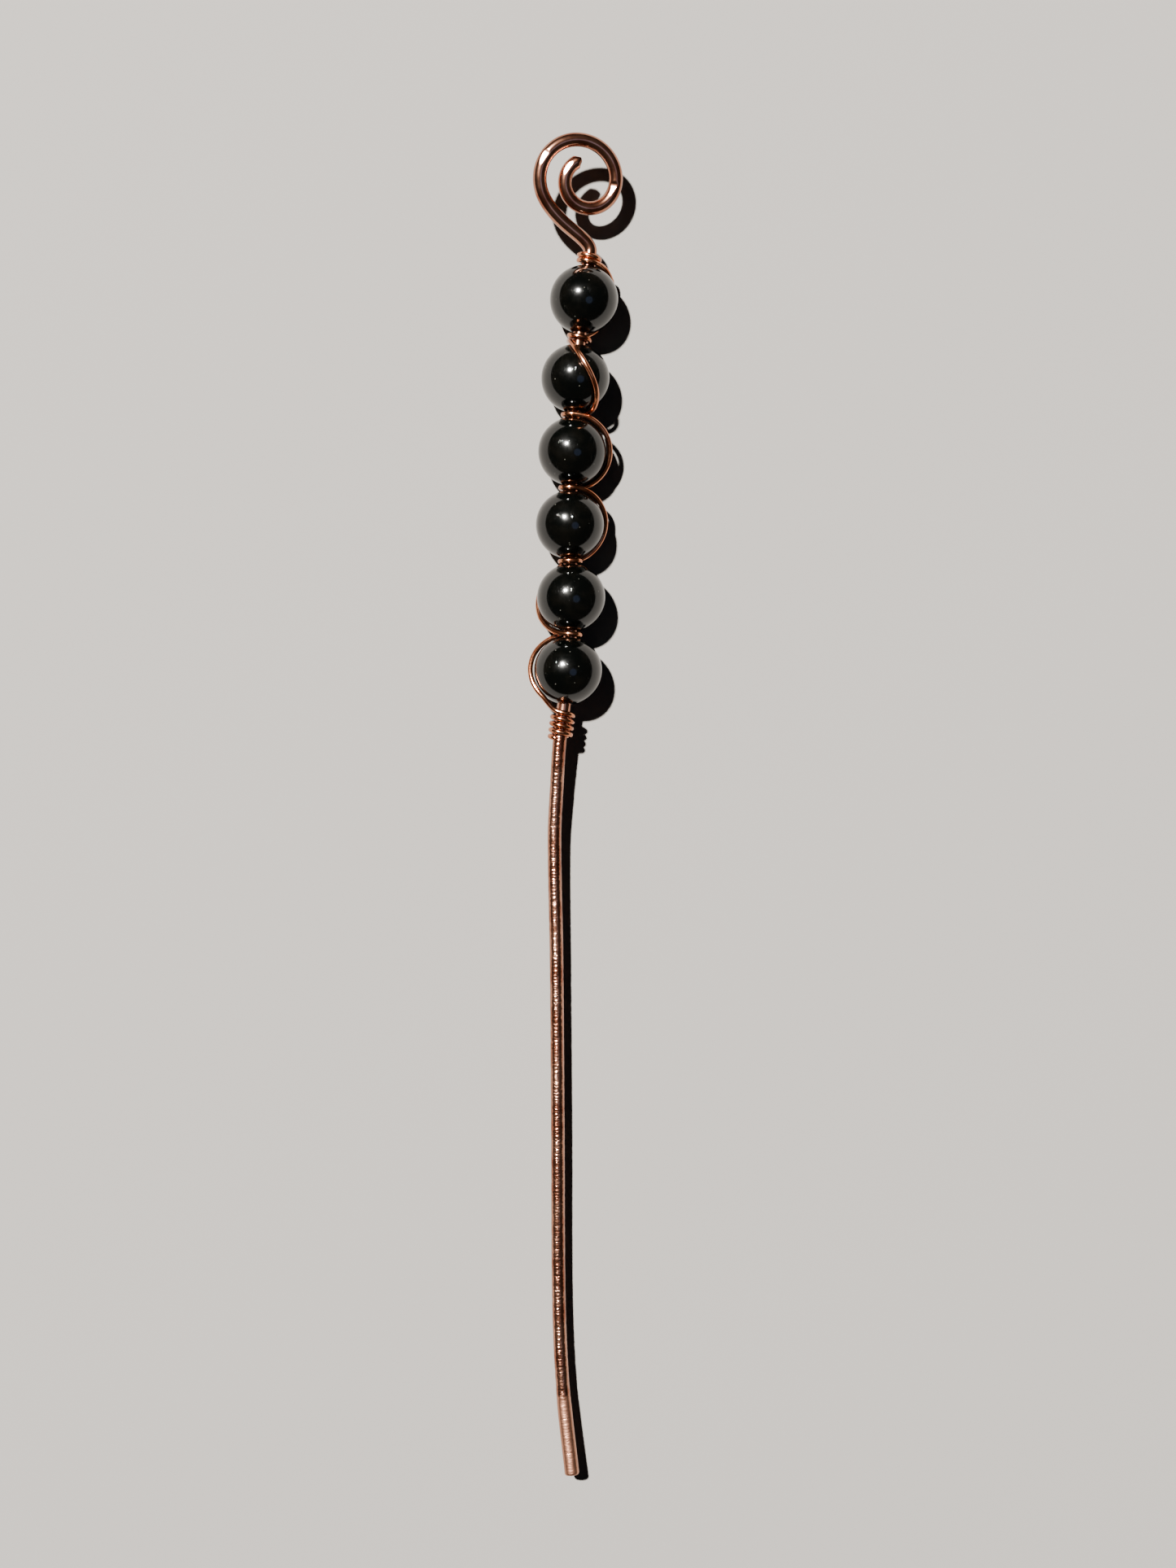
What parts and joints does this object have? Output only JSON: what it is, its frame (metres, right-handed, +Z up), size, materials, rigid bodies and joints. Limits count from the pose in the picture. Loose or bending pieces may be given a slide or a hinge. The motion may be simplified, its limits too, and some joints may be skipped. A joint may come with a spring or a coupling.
{
  "type": "decorative hair pin",
  "caption": "Straight copper wire hair pin with a flat scroll at its head and a row of polished black stone beads, bound on by a thin copper wire that winds from bead to bead.",
  "frame": {"origin": "centre of the bounding box at its bottom, on the surface that the beads rest on", "axes": "+Y along the pin from its tip towards its scroll, +X to the right seen from above, +Z up"},
  "size_m": [0.011, 0.1544, 0.0083],
  "materials": {
    "stem_copper": "hammered, worn copper",
    "binding_copper": "bright drawn copper",
    "black_stone": "polished opaque black stone"
  },
  "bodies": {
    "pin_frame": {"stem": "stem_copper", "binding_wire": "binding_copper"},
    "bead_1": {"bead_1": "black_stone"},
    "bead_2": {"bead_2": "black_stone"},
    "bead_3": {"bead_3": "black_stone"},
    "bead_4": {"bead_4": "black_stone"},
    "bead_5": {"bead_5": "black_stone"},
    "bead_6": {"bead_6": "black_stone"}
  },
  "joints": [
    {"name": "bead_1_spin", "type": "hinge", "parent": "pin_frame", "child": "bead_1", "pos_m": [0.001, 0.05863, 0.00394], "axis": [-0.1155, -0.9933, 0], "continuous": true},
    {"name": "bead_2_spin", "type": "hinge", "parent": "pin_frame", "child": "bead_2", "pos_m": [0, 0.04954, 0.00394], "axis": [-0.0789, -0.9969, 0], "continuous": true},
    {"name": "bead_3_spin", "type": "hinge", "parent": "pin_frame", "child": "bead_3", "pos_m": [-0.00035, 0.04111, 0.00394], "axis": [-0.033, -0.9995, 0], "continuous": true},
    {"name": "bead_4_spin", "type": "hinge", "parent": "pin_frame", "child": "bead_4", "pos_m": [-0.00062, 0.03268, 0.00394], "axis": [-0.0119, -0.9999, 0], "continuous": true},
    {"name": "bead_5_spin", "type": "hinge", "parent": "pin_frame", "child": "bead_5", "pos_m": [-0.00049, 0.02425, 0.00394], "axis": [-0.0129, -0.9999, 0], "continuous": true},
    {"name": "bead_6_spin", "type": "hinge", "parent": "pin_frame", "child": "bead_6", "pos_m": [-0.00086, 0.01582, 0.00394], "axis": [-0.0779, -0.997, 0], "continuous": true}
  ]
}
